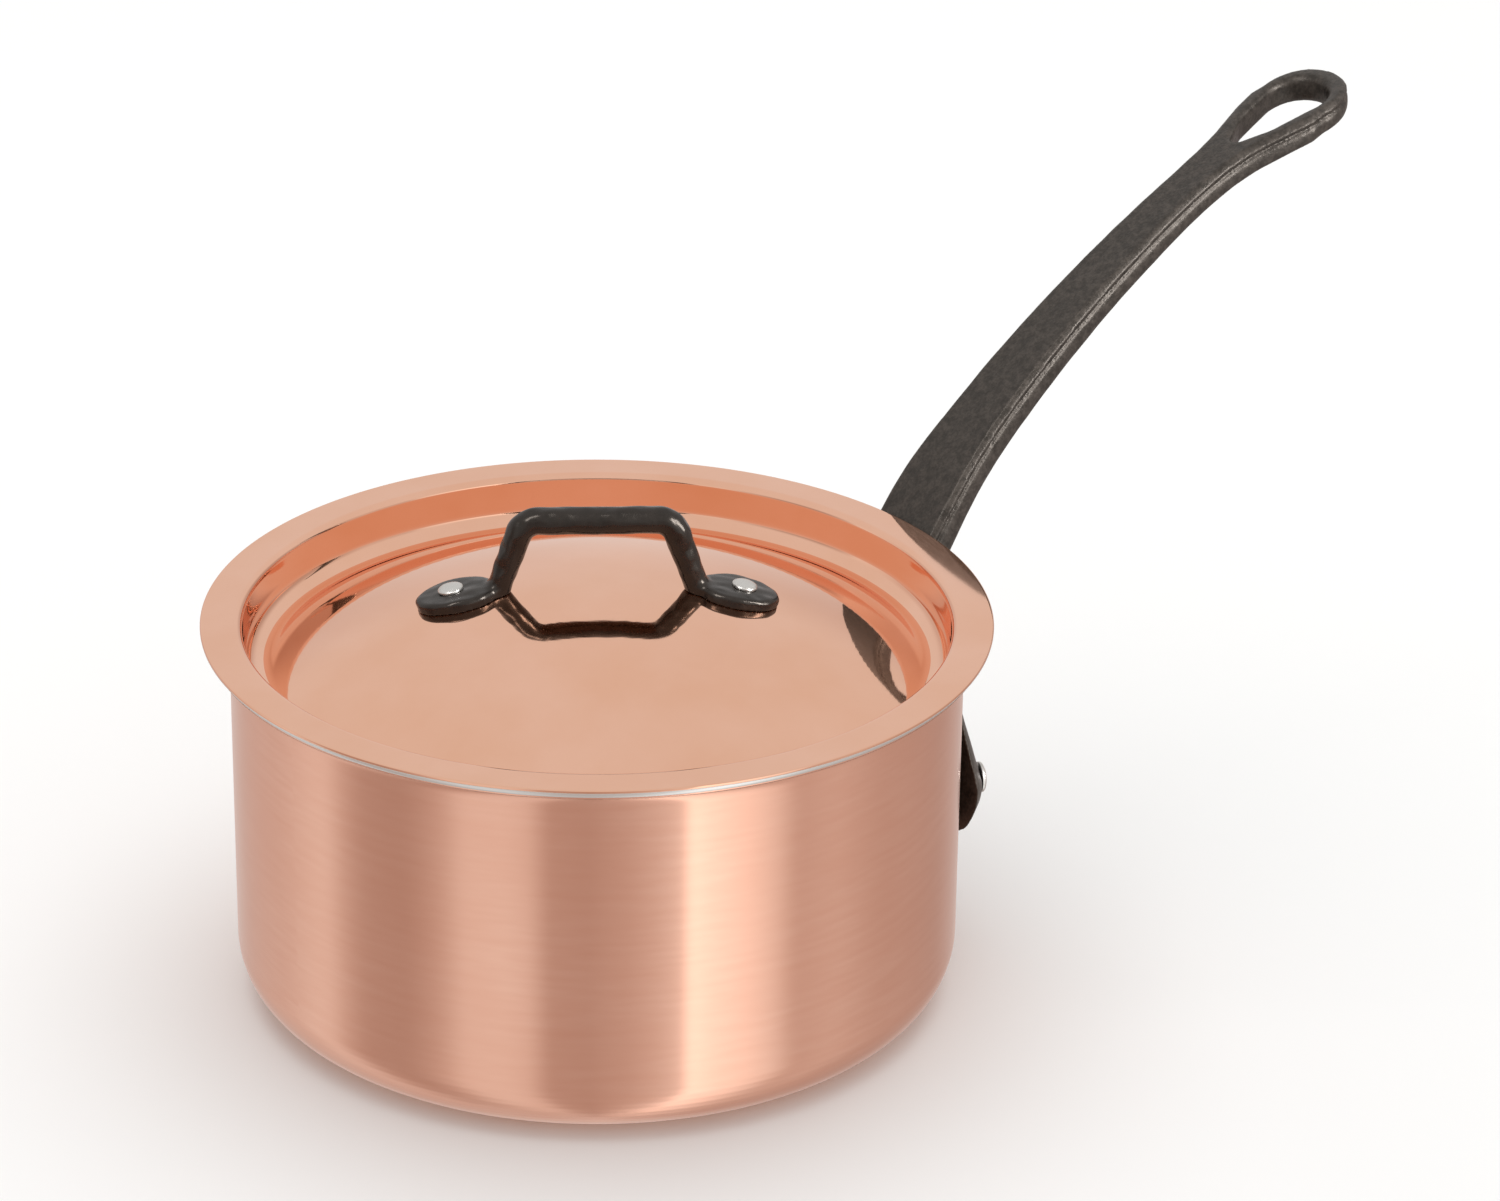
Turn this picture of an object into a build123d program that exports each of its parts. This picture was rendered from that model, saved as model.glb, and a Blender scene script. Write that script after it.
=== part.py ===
from build123d import *
import math
import os

# Copper saucepan, 200 mm inside, with its lid.
# Origin: centre of the pan's flat underside. +Z is up and +X runs out along the pan's handle.
# All sizes are in millimetres.

# Pan: a copper shell with a thin stainless lining
panInnerRadius = 100.0
panHeight = 109.25
panCopper = 1.8
panSteel = 0.25
panCornerRadius = 16.0      # outside, between base and wall
lipRadius = 108.8           # outer edge of the pouring lip
lipBend = 5.0               # radius of the bend under the lip
hemDrop = 1.35              # how far the lining folds down over the lip's edge
hemThickness = 0.5

# Lid: a thinner copper shell with its own lining
brimRadius = 110.0
brimTop = 110.5
lidCopper = 0.8
lidSteel = 0.2
lidWallRadius = 98.4        # top side of the recess wall
brimBend = 2.0              # rounding where the brim turns down
grooveRadius = 5.5          # hollow between the recess wall and the dome
domeRadius = 192.5
domeTop = 119.2

# Lid handle: a round iron bar on two oval feet, set across the dome
lidHandleAngle = -34.9      # degrees round Z from the pan's handle
barDiameter = 7.8
barHeight = 138.7           # centre of the grip
barHalfTop = 20.5
barHalfFoot = 28.0
barBend = 6.0
footReach = 38.6            # centre of an oval foot from the axis
footLength = 23.4
footWidth = 17.6
footThickness = 3.4
lidRivetReach = 40.0
lidRivetHead = 7.2

# Pan handle: an iron bar with a flat top, a hanging loop and a riveted plate
# Top line of the bar as (distance from the pan's axis, height)
handleTop = [(98, 87.5), (112, 110.2), (121, 121.9), (130, 131.4), (149, 148.1), (175, 167.4),
             (205, 186.0), (240, 202.8), (275.6, 214.2)]
handleRootThickness = 10.4
handleEndThickness = 7.8
# Half width of the bar as (distance from the pan's axis, half width)
handleOutline = [(98, 12.4), (112, 12.0), (121, 11.6), (130, 10.5), (149, 9.2), (175, 8.0),
                 (205, 7.0), (224, 7.0), (236, 8.7), (247, 12.0)]
loopCentre = 261.2
loopRadius = 14.4
# The hanging eye is the hull of these circles, as (centre, radius)
eyeCircles = [(235.0, 2.6), (244.0, 6.8), (259.3, 9.6)]
plateThickness = 5.5
plateTop = 90.0
plateTopHalfWidth = 13.0
plateArch = 47.0            # height of the plate's lower edge on the centre line
lobeAngle = 23.5            # each lower rivet, round Z from the handle
lobeHeight = 47.0
lobeRadius = 15.5
lobeCrown = 11.0            # thickness of a lobe at its rivet
armTopAngle = 21.0          # the lobe thins upward along an arm that ends here
armTopHeight = 79.0
armTopThickness = 2.5
armTopRadius = 7.5
topRivetHeight = 72.0

# Rivets of the pan handle
rivetShank = 6.0
rivetHead = 9.0
rivetHeadHeight = 1.9
rivetInsideHead = 13.0
rivetInsideHeight = 1.4
rivetSeat = 0.2             # the inside head's flat back stands off the curved lining
holeGap = 0.05
rivetEdge = 0.3             # share of a head's height that is straight edge

panOuterRadius = panInnerRadius + panSteel + panCopper
domeCentre = domeTop - domeRadius


def revolved(*edges):
    return revolve(make_face(Plane.XZ * Wire(edges)), Axis.Z)


def bowl(radius, floorHeight, corner, bendRadius, topHeight, rimRadius):
    """Solid of revolution inside a wall that turns out into the lip; it fills the bowl to the axis."""
    bendTop = topHeight - bendRadius
    diagonal = math.sqrt(0.5)
    cornerMid = (radius - corner + corner * diagonal, floorHeight + corner - corner * diagonal)
    bendCentre = radius + bendRadius
    bendMid = (bendCentre - bendRadius * diagonal, bendTop + bendRadius * diagonal)
    points = [(0, floorHeight), (radius - corner, floorHeight), (radius, floorHeight + corner),
              (radius, bendTop), (bendCentre, topHeight), (rimRadius, topHeight)]
    return revolved(
        Line(points[0], points[1]),
        ThreePointArc(points[1], cornerMid, points[2]),
        Line(points[2], points[3]),
        ThreePointArc(points[3], bendMid, points[4]),
        Line(points[4], points[5]),
        Line(points[5], (rimRadius, panHeight + 5)),
        Line((rimRadius, panHeight + 5), (0, panHeight + 5)),
        Line((0, panHeight + 5), points[0]),
    )


def buildPanShells():
    """Copper shell and steel lining, both cut from nested bowls."""
    sheet = panCopper + panSteel
    copperEdge = lipRadius - hemThickness
    outside = bowl(panOuterRadius, 0, panCornerRadius, lipBend, panHeight - sheet, copperEdge)
    middle = bowl(panInnerRadius + panSteel, panCopper, panCornerRadius - panCopper,
                  lipBend + panCopper, panHeight - panSteel, lipRadius + 2)
    inside = bowl(panInnerRadius, sheet, panCornerRadius - sheet, lipBend + sheet, panHeight, lipRadius + 2)
    copper = outside - middle
    skin = bowl(panInnerRadius + panSteel, panCopper, panCornerRadius - panCopper,
                lipBend + panCopper, panHeight - panSteel, lipRadius) - inside
    hemBottom = panHeight - hemDrop
    hem = Cylinder(lipRadius, hemDrop, align=(Align.CENTER, Align.CENTER, Align.MIN))
    hem -= Cylinder(copperEdge, hemDrop, align=(Align.CENTER, Align.CENTER, Align.MIN))
    return copper, skin + Pos(0, 0, hemBottom) * hem


def lidCap(depth):
    """Everything below the lid's top surface moved down by depth, as a solid to cut with."""
    radius = domeRadius - depth
    hollow = grooveRadius + depth
    bend = brimBend - depth
    wall = lidWallRadius + depth
    hollowX = lidWallRadius - grooveRadius
    hollowZ = domeCentre + math.sqrt((domeRadius + grooveRadius) ** 2 - hollowX ** 2)
    tangent = radius / (domeRadius + grooveRadius)
    domeEdge = (hollowX * tangent, domeCentre + (hollowZ - domeCentre) * tangent)
    halfAngle = math.asin(domeEdge[0] / radius) / 2
    domeMid = (radius * math.sin(halfAngle), domeCentre + radius * math.cos(halfAngle))
    turn = math.atan2(hollowZ - domeCentre, hollowX)
    middle = (turn + math.pi) / 2
    hollowMid = (hollowX - hollow * math.cos(middle), hollowZ - hollow * math.sin(middle))
    bendX = lidWallRadius + brimBend
    bendZ = brimTop - brimBend
    diagonal = math.sqrt(0.5)
    bendMid = (bendX - bend * diagonal, bendZ + bend * diagonal)
    return revolved(
        ThreePointArc((0, domeCentre + radius), domeMid, domeEdge),
        ThreePointArc(domeEdge, hollowMid, (wall, hollowZ)),
        Line((wall, hollowZ), (wall, bendZ)),
        ThreePointArc((wall, bendZ), bendMid, (bendX, bendZ + bend)),
        Line((bendX, bendZ + bend), (brimRadius, bendZ + bend)),
        Line((brimRadius, bendZ + bend), (brimRadius, 80)),
        Line((brimRadius, 80), (0, 80)),
        Line((0, 80), (0, domeCentre + radius)),
    )


def buildLidShells():
    top = lidCap(0)
    middle = lidCap(lidCopper)
    bottom = lidCap(lidCopper + lidSteel)
    return top - middle, middle - bottom


def radialPlane(angle, height, radius):
    """Plane whose normal points out of the pan's wall at this angle."""
    a = math.radians(angle)
    return Plane((radius * math.cos(a), radius * math.sin(a), height), z_dir=(math.cos(a), math.sin(a), 0))


def domePlane(angle, reach):
    """Plane on the lid's dome, its normal along the dome's own and x outward."""
    a = math.radians(angle)
    rise = math.sqrt(domeRadius ** 2 - reach ** 2)
    out = Vector(math.cos(a), math.sin(a), 0)
    normal = (out * reach + Vector(0, 0, rise)).normalized()
    origin = out * reach + Vector(0, 0, domeCentre + rise)
    along = out - normal * out.dot(normal)
    return Plane(origin, x_dir=along, z_dir=normal)


def capArc(halfWidth, base, rise):
    """Arc of a round cap from its edge at base to its top on the axis."""
    radius = (halfWidth ** 2 + rise ** 2) / (2 * abs(rise))
    middle = math.asin(halfWidth / radius) / 2
    centre = base + rise - math.copysign(radius, rise)
    mid = (radius * math.sin(middle), centre + math.copysign(radius * math.cos(middle), rise))
    return ThreePointArc((halfWidth, base), mid, (0, base + rise))


def rivet(headBase, headWidth, headHeight, backBase, backWidth, backHeight, shank):
    """A rivet along Z: a domed head above headBase and a low back head below backBase."""
    half = headWidth / 2
    backHalf = backWidth / 2
    headEdge = headBase + headHeight * rivetEdge
    backEdge = backBase - backHeight * rivetEdge
    return revolved(
        capArc(half, headEdge, headBase + headHeight - headEdge),
        Line((half, headEdge), (half, headBase)),
        Line((half, headBase), (shank / 2, headBase)),
        Line((shank / 2, headBase), (shank / 2, backBase)),
        Line((shank / 2, backBase), (backHalf, backBase)),
        Line((backHalf, backBase), (backHalf, backEdge)),
        capArc(backHalf, backEdge, backBase - backHeight - backEdge),
        Line((0, backBase - backHeight), (0, headBase + headHeight)),
    )


def handleRivetPlaces():
    """Name, angle, height and seat thickness of each rivet in the handle's plate."""
    return [("handle_rivet_top", 0, topRivetHeight, plateThickness),
            ("handle_rivet_left", lobeAngle, lobeHeight, lobeCrown),
            ("handle_rivet_right", -lobeAngle, lobeHeight, lobeCrown)]


def handleRivet(angle, height, seat):
    plane = radialPlane(angle, height, 0)
    body = rivet(panOuterRadius + seat - 0.4, rivetHead, rivetHeadHeight,
                 panInnerRadius - rivetSeat, rivetInsideHead, rivetInsideHeight, rivetShank)
    return plane * body


def handleRivetHole(angle, height):
    """Shank hole through wall and plate."""
    hole = Cylinder(rivetShank / 2 + holeGap, 200, align=(Align.CENTER, Align.CENTER, Align.MIN))
    return radialPlane(angle, height, 0) * hole


def handleRivetSeat(angle, height, seat):
    """Flat seat in the plate for the outside head."""
    cut = Cylinder(rivetHead / 2 + 0.3, 20, align=(Align.CENTER, Align.CENTER, Align.MIN))
    return radialPlane(angle, height, panOuterRadius + seat - 0.4) * cut


def buildHandleBar():
    """The bar is its side profile crossed with its outline seen from above."""
    top = Edge.make_spline([Vector(x, 0, z) for x, z in handleTop])
    steps = 10
    under = []
    for i in range(steps + 1):
        along = i / steps
        direction = top % along
        thickness = handleRootThickness + (handleEndThickness - handleRootThickness) * along
        under.append((top @ along) + Vector(direction.Z, 0, -direction.X).normalized() * thickness)
    bottom = Edge.make_spline(under)
    side = make_face([top, Edge.make_line(top @ 0, under[0]), bottom, Edge.make_line(top @ 1, under[-1])])
    sheet = extrude(side, amount=30, dir=(0, 1, 0), both=True)

    right = [(x, -y) for x, y in handleOutline]
    loopJoin = (loopCentre, loopRadius)
    upper = Spline(*handleOutline, loopJoin, tangents=[(1, -0.02), (1, 0)])
    lower = Spline(*right, (loopCentre, -loopRadius), tangents=[(1, 0.02), (1, 0)])
    nose = ThreePointArc(loopJoin, (loopCentre + loopRadius, 0), (loopCentre, -loopRadius))
    outline = make_face([upper, nose, lower, Line(handleOutline[0], right[0])])
    rings = [Pos(x, 0) * Circle(radius) for x, radius in eyeCircles]
    eye = make_hull([ring.edge() for ring in rings])
    return sheet & extrude(outline - eye, amount=260)


def buildHandlePlate():
    """Curved plate on the wall, wide at the bottom, with a crowned lobe at each lower rivet."""
    lobeY = panOuterRadius * math.sin(math.radians(lobeAngle))
    outerY = lobeY + lobeRadius
    archY = lobeY - lobeRadius * 0.75
    shoulder = (plateTopHalfWidth + 7.0, lobeHeight + lobeRadius + 6.0)
    half = [(plateTopHalfWidth, plateTop), shoulder, (outerY - 1.0, lobeHeight + 6.0)]
    side = Spline(*half, tangents=[(0.15, -1), (0.1, -1)])
    footMid = (lobeY + lobeRadius * 0.45, lobeHeight - lobeRadius * 0.9)
    foot = ThreePointArc(half[2], footMid, (archY, lobeHeight - 10))
    arch = Spline((archY, lobeHeight - 10), (0, plateArch), tangents=[(-1, 0.9), (-1, 0)])
    edges = [side, foot, arch]
    mirrored = [mirror(edge, Plane.YZ) for edge in edges]
    outline = make_face([*edges, *mirrored, Line((-plateTopHalfWidth, plateTop), (plateTopHalfWidth, plateTop))])
    face = Plane((0, 0, 0), x_dir=(0, 1, 0), z_dir=(1, 0, 0)) * outline
    prism = extrude(face, amount=150)
    ring = Cylinder(panOuterRadius + plateThickness, panHeight, align=(Align.CENTER, Align.CENTER, Align.MIN))
    plate = prism & ring
    crown = (lobeRadius ** 2 + lobeCrown ** 2) / (2 * lobeCrown)
    for side in (1, -1):
        lobe = radialPlane(side * lobeAngle, lobeHeight, panOuterRadius + lobeCrown - crown)
        tip = radialPlane(side * armTopAngle, armTopHeight, panOuterRadius + armTopThickness - armTopRadius)
        way = tip.origin - lobe.origin
        arm = Cone(crown, armTopRadius, way.length, align=(Align.CENTER, Align.CENTER, Align.MIN))
        plate += lobe * Sphere(crown)
        plate += Plane(lobe.origin, z_dir=way) * arm
        plate += tip * Sphere(armTopRadius)
    return plate


def buildHandle():
    blank = buildHandleBar() + buildHandlePlate()
    blank -= Cylinder(panOuterRadius, panHeight, align=(Align.CENTER, Align.CENTER, Align.MIN))
    for name, angle, height, seat in handleRivetPlaces():
        blank -= handleRivetHole(angle, height)
        blank -= handleRivetSeat(angle, height, seat)
    return blank


def buildLidHandle():
    """Round bar swept from foot to foot, on two ovals cut to the dome."""
    footZ = domeCentre + math.sqrt(domeRadius ** 2 - barHalfFoot ** 2)
    path = FilletPolyline((-barHalfFoot, 0, footZ), (-barHalfTop, 0, barHeight),
                          (barHalfTop, 0, barHeight), (barHalfFoot, 0, footZ), radius=barBend)
    section = Plane(path @ 0, z_dir=path % 0) * Circle(barDiameter / 2)
    handle = sweep(section, path=path)
    for angle in (0, 180):
        oval = extrude(Ellipse(footLength / 2, footWidth / 2), amount=footThickness + 2)
        oval = fillet(oval.edges().group_by(Axis.Z)[-1], 1.6)
        handle += domePlane(angle, lidRivetReach) * (Pos(footReach - lidRivetReach, 0, -2) * oval)
    handle -= Pos(0, 0, domeCentre) * Sphere(domeRadius)
    for angle in (0, 180):
        handle -= domePlane(angle, lidRivetReach) * Cylinder(2.0 + holeGap, 40)
    return Rot(0, 0, lidHandleAngle) * handle


def lidRivet(angle):
    """Rivet through a foot and the lid, along the dome's normal."""
    back = -(lidCopper + lidSteel) - 0.1
    return domePlane(angle, lidRivetReach) * rivet(footThickness, lidRivetHead, 1.5, back, 8.0, 1.2, 4.0)


def lidRivetHole(angle):
    return domePlane(angle, lidRivetReach) * Cylinder(2.0 + holeGap, 12)


def build():
    panBody, panLining = buildPanShells()
    lidShell, lidLining = buildLidShells()
    nodes = {}
    for name, angle, height, seat in handleRivetPlaces():
        hole = handleRivetHole(angle, height)
        panBody -= hole
        panLining -= hole
        nodes[name] = handleRivet(angle, height, seat)
    for name, angle in (("lid_rivet_right", lidHandleAngle), ("lid_rivet_left", lidHandleAngle + 180)):
        lidShell -= lidRivetHole(angle)
        lidLining -= lidRivetHole(angle)
        nodes[name] = lidRivet(angle)
    nodes["pan_body"] = panBody
    nodes["pan_lining"] = panLining
    nodes["handle"] = buildHandle()
    nodes["lid_shell"] = lidShell
    nodes["lid_lining"] = lidLining
    nodes["lid_handle"] = buildLidHandle()
    return nodes


os.makedirs("parts", exist_ok=True)
for nodeName, shape in build().items():
    shape.label = nodeName
    export_step(shape, f"parts/{nodeName}.step")
    print(nodeName, len(shape.solids()), round(shape.volume, 1))
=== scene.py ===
import math
import random

import bpy
import numpy as np
import openvdb as vdb
from mathutils import Matrix, Vector


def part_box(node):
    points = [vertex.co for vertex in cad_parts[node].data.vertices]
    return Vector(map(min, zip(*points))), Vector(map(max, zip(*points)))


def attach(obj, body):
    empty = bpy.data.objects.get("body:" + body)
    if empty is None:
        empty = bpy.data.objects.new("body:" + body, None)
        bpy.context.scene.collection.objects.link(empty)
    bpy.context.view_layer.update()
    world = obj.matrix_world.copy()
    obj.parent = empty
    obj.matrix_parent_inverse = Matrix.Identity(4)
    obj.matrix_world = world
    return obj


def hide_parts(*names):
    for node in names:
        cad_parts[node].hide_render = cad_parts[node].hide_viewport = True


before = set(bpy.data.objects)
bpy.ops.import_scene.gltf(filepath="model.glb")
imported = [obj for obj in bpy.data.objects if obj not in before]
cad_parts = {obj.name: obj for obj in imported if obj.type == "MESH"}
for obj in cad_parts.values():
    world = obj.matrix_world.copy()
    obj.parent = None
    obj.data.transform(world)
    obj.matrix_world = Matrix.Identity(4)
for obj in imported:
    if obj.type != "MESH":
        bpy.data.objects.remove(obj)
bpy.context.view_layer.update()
mm = 0.001


def linear(hexColour):
    values = [int(hexColour[i:i + 2], 16) / 255 for i in (1, 3, 5)]
    return tuple(v / 12.92 if v <= 0.04045 else ((v + 0.055) / 1.055) ** 2.4 for v in values) + (1.0,)


def addNode(tree, kind, values=None, links=None, **settings):
    node = tree.nodes.new(kind)
    for name, value in settings.items():
        setattr(node, name, value)
    for socket, value in (values or {}).items():
        node.inputs[socket].default_value = value
    for socket, source in (links or {}).items():
        tree.links.new(source, node.inputs[socket])
    return node


def addSockets(tree, way, **kinds):
    for name, kind in kinds.items():
        tree.interface.new_socket(name.replace("_", " "), in_out=way, socket_type="NodeSocket" + kind)


def newMaterial(name, **shaderValues):
    material = bpy.data.materials.new(name)
    material.use_nodes = True
    tree = material.node_tree
    shader = tree.nodes["Principled BSDF"]
    for socket, value in shaderValues.items():
        shader.inputs[socket.replace("_", " ")].default_value = value
    return material, tree, shader


def spread(tree, source, low, high):
    # the middle of a noise, 0.3 to 0.7, stretched from low to high
    return addNode(tree, "ShaderNodeMapRange", {"From Min": 0.3, "From Max": 0.7, "To Min": low, "To Max": high},
                   {"Value": source}).outputs[0]


def twoColours(tree, source, first, last, start=0.0, end=1.0):
    node = addNode(tree, "ShaderNodeValToRGB", links={0: source})
    for element, colour, position in zip(node.color_ramp.elements, (first, last), (start, end)):
        element.position, element.color = position, linear(colour)
    return node.outputs[0]


def stretch(tree, source, *factors):
    return addNode(tree, "ShaderNodeVectorMath", {1: factors}, {0: source}, operation="MULTIPLY").outputs[0]


def connect(tree, shader, **sources):
    for socket, source in sources.items():
        tree.links.new(source, shader.inputs[socket.replace("_", " ")])


# Sizes in the CAD frame, all in millimetres
panBox = [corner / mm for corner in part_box("pan_body")]
liningBox = [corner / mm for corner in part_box("pan_lining")]
lidBox = [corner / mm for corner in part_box("lid_shell")]

pan = {
    "wallRadius": 102.05, "copper": 1.8, "steel": 0.25, "corner": 16.0, "lipBend": 5.0,
    "hemDrop": 1.35, "hem": 0.5, "hemRound": 0.22, "cornerSteps": 14, "segments": 288,
}
lid = {
    "copper": 0.8, "steel": 0.2, "wallRadius": 98.4, "brimBend": 2.0, "groove": 5.5,
    "domeRadius": 192.5, "brimDrop": 8.7, "edgeRound": 0.32, "segments": 288,
}
sheetGap = 0.02


# Profiles of the spun sheets, as lists of (radius, height)
def bend(centre, radius, start, end, steps=10):
    angles = np.radians(np.linspace(start, end, steps + 1))
    return [(centre[0] + radius * math.cos(a), centre[1] + radius * math.sin(a)) for a in angles]


def withSupport(points, support=0.35, longest=9.0):
    # extra points close to the ends of each long straight keep the shading flat there
    result = [points[0]]
    for (r0, z0), (r1, z1) in zip(points, points[1:]):
        length = math.hypot(r1 - r0, z1 - z0)
        if length < 1e-5:
            continue
        if length > 4 * support:
            inner = np.linspace(support / length, 1 - support / length, max(2, int(length / longest) + 2))
            result += [(r0 + (r1 - r0) * t, z0 + (z1 - z0) * t) for t in inner]
        result.append((r1, z1))
    return result


def bowlLine(radius, floor, corner, lipBend, top):
    # from the axis along the floor, up the wall and out into the lip
    steps = pan["cornerSteps"]
    return ([(0, floor)] + bend((radius - corner, floor + corner), corner, -90, 0, steps)
            + bend((radius + lipBend, top - lipBend), lipBend, 180, 90, steps))


def panProfiles():
    top = liningBox[1].z
    inner = pan["wallRadius"] - pan["copper"]
    sheet = pan["copper"] + pan["steel"]
    hemInside = liningBox[1].x - pan["hem"]
    outside = bowlLine(pan["wallRadius"], panBox[0].z, pan["corner"], pan["lipBend"], top - sheet)
    middle = bowlLine(inner, pan["copper"], pan["corner"] - pan["copper"],
                      pan["lipBend"] + pan["copper"], top - pan["steel"])
    inside = bowlLine(inner - pan["steel"], sheet, pan["corner"] - sheet, pan["lipBend"] + sheet, top)
    edge = hemInside - sheetGap
    copper = outside + [(edge, top - sheet), (edge, top - pan["steel"] - sheetGap)]
    copper += [(r, z - sheetGap) for r, z in reversed(middle)]
    fold, low = pan["hemRound"], top - pan["hemDrop"]
    hem = [(hemInside, top - pan["steel"]), (hemInside, low + 0.15)]
    hem += bend((hemInside + pan["hem"] / 2, low + fold), fold, 215, 325, 5)
    hem += bend((liningBox[1].x - pan["hem"], top - pan["hem"]), pan["hem"], 0, 90, 8)
    return copper, middle + hem + list(reversed(inside))


def lidLine(depth):
    # from the axis down the dome, through the groove, up the recess wall and out over the brim
    s = lid
    centre = lidTop() - s["domeRadius"]
    hollowRadius = s["wallRadius"] - s["groove"]
    hollowZ = centre + math.sqrt((s["domeRadius"] + s["groove"]) ** 2 - hollowRadius ** 2)
    turn = math.degrees(math.atan2(hollowZ - centre, hollowRadius))
    bendRadius = s["brimBend"] - depth
    bendCentre = (s["wallRadius"] + s["brimBend"], lidBrim() - s["brimBend"])
    points = bend((0, centre), s["domeRadius"] - depth, 90, turn, 60)
    points += bend((hollowRadius, hollowZ), s["groove"] + depth, turn - 180, 0, 16)
    points += bend(bendCentre, bendRadius, 180, 90, 8)
    return points


def lidTop():
    return lidBox[1].z


def lidBrim():
    return lidTop() - lid["brimDrop"]


def lidProfiles():
    edge, round_ = lidBox[1].x, lid["edgeRound"]
    under = lid["copper"]
    top = lidLine(0) + bend((edge - round_, lidBrim() - round_), round_, 90, 0, 5)
    top += bend((edge - 0.12, lidBrim() - under + 0.12), 0.12, 0, -90, 3)
    low = lidLine(under) + [(edge - 0.15, lidBrim() - under)]
    bottom = lidLine(under + lid["steel"]) + bend((edge - 0.15, lidBrim() - under - 0.1), 0.1, -90, 90, 4)
    return top + list(reversed(low)), low[:-1] + list(reversed(bottom))


# A sheet spun round the Z axis: a grid takes each row's radius and height from the profile
def spunTree():
    tree = bpy.data.node_groups.new("spunSheet", "GeometryNodeTree")
    addSockets(tree, "INPUT", Profile="Geometry", Segments="Int", Finish="Material")
    addSockets(tree, "OUTPUT", Sheet="Geometry")
    start = addNode(tree, "NodeGroupInput").outputs
    count = addNode(tree, "GeometryNodeAttributeDomainSize", links={0: start["Profile"]}).outputs["Point Count"]
    columns = addNode(tree, "ShaderNodeMath", {1: 1.0}, {0: start["Segments"]}, operation="ADD").outputs[0]
    grid = addNode(tree, "GeometryNodeMeshGrid", links={"Vertices X": columns, "Vertices Y": count})
    index = addNode(tree, "GeometryNodeInputIndex").outputs[0]
    column = addNode(tree, "ShaderNodeMath", links={0: index, 1: count}, operation="DIVIDE").outputs[0]
    column = addNode(tree, "ShaderNodeMath", links={0: column}, operation="FLOOR").outputs[0]
    row = addNode(tree, "ShaderNodeMath", links={0: index, 1: count}, operation="MODULO").outputs[0]
    place = addNode(tree, "GeometryNodeInputPosition").outputs[0]
    sample = addNode(tree, "GeometryNodeSampleIndex",
                     links={"Geometry": start["Profile"], "Value": place, "Index": row},
                     data_type="FLOAT_VECTOR", domain="POINT")
    sample = next(out for out in sample.outputs if out.enabled)
    turn = addNode(tree, "ShaderNodeMath", links={0: column, 1: start["Segments"]}, operation="DIVIDE").outputs[0]
    turn = addNode(tree, "ShaderNodeMath", {1: 2 * math.pi}, {0: turn}, operation="MULTIPLY").outputs[0]
    turned = addNode(tree, "ShaderNodeVectorRotate", links={"Vector": sample, "Angle": turn}, rotation_type="Z_AXIS")
    moved = addNode(tree, "GeometryNodeSetPosition",
                    links={"Geometry": grid.outputs["Mesh"], "Position": turned.outputs[0]})
    merged = addNode(tree, "GeometryNodeMergeByDistance", {"Distance": 2e-7}, {"Geometry": moved.outputs[0]})
    smooth = addNode(tree, "GeometryNodeSetShadeSmooth", links={"Geometry": merged.outputs[0]})
    real = addNode(tree, "GeometryNodeRealizeInstances", links={"Geometry": smooth.outputs[0]})
    finish = addNode(tree, "GeometryNodeSetMaterial",
                     links={"Geometry": real.outputs[0], "Material": start["Finish"]})
    addNode(tree, "NodeGroupOutput", links={"Sheet": finish.outputs[0]})
    return tree


def setInputs(modifier, **values):
    for item in modifier.node_group.interface.items_tree:
        if item.in_out == "INPUT" and item.name.replace(" ", "") in values:
            modifier[item.identifier] = values[item.name.replace(" ", "")]


def settle(piece):
    # the evaluated result becomes the piece's own mesh, with its faces outward
    bpy.context.view_layer.update()
    evaluated = piece.evaluated_get(bpy.context.evaluated_depsgraph_get())
    mesh = bpy.data.meshes.new_from_object(evaluated)
    piece.modifiers.clear()
    piece.data = mesh
    mesh.name = piece.name
    pointOutward(mesh)
    return piece


def pointOutward(mesh):
    mesh.calc_loop_triangles()
    corners = np.empty(len(mesh.loop_triangles) * 3, np.int32)
    mesh.loop_triangles.foreach_get("vertices", corners)
    places = np.empty(len(mesh.vertices) * 3, np.float32)
    mesh.vertices.foreach_get("co", places)
    a, b, c = places.reshape(-1, 3)[corners.reshape(-1, 3)].transpose(1, 0, 2).astype(float)
    if np.einsum("ij,ij->i", a, np.cross(b, c)).sum() < 0:
        mesh.flip_normals()


def spin(name, profile, segments, material, tree):
    points = withSupport(profile)
    mesh = bpy.data.meshes.new(name)
    mesh.from_pydata([(r * mm, 0, z * mm) for r, z in points], [(i, i + 1) for i in range(len(points) - 1)], [])
    piece = bpy.data.objects.new(name, mesh)
    bpy.context.scene.collection.objects.link(piece)
    modifier = piece.modifiers.new("spin", "NODES")
    modifier.node_group = tree
    setInputs(modifier, Segments=segments, Finish=material)
    return settle(piece)


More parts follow.
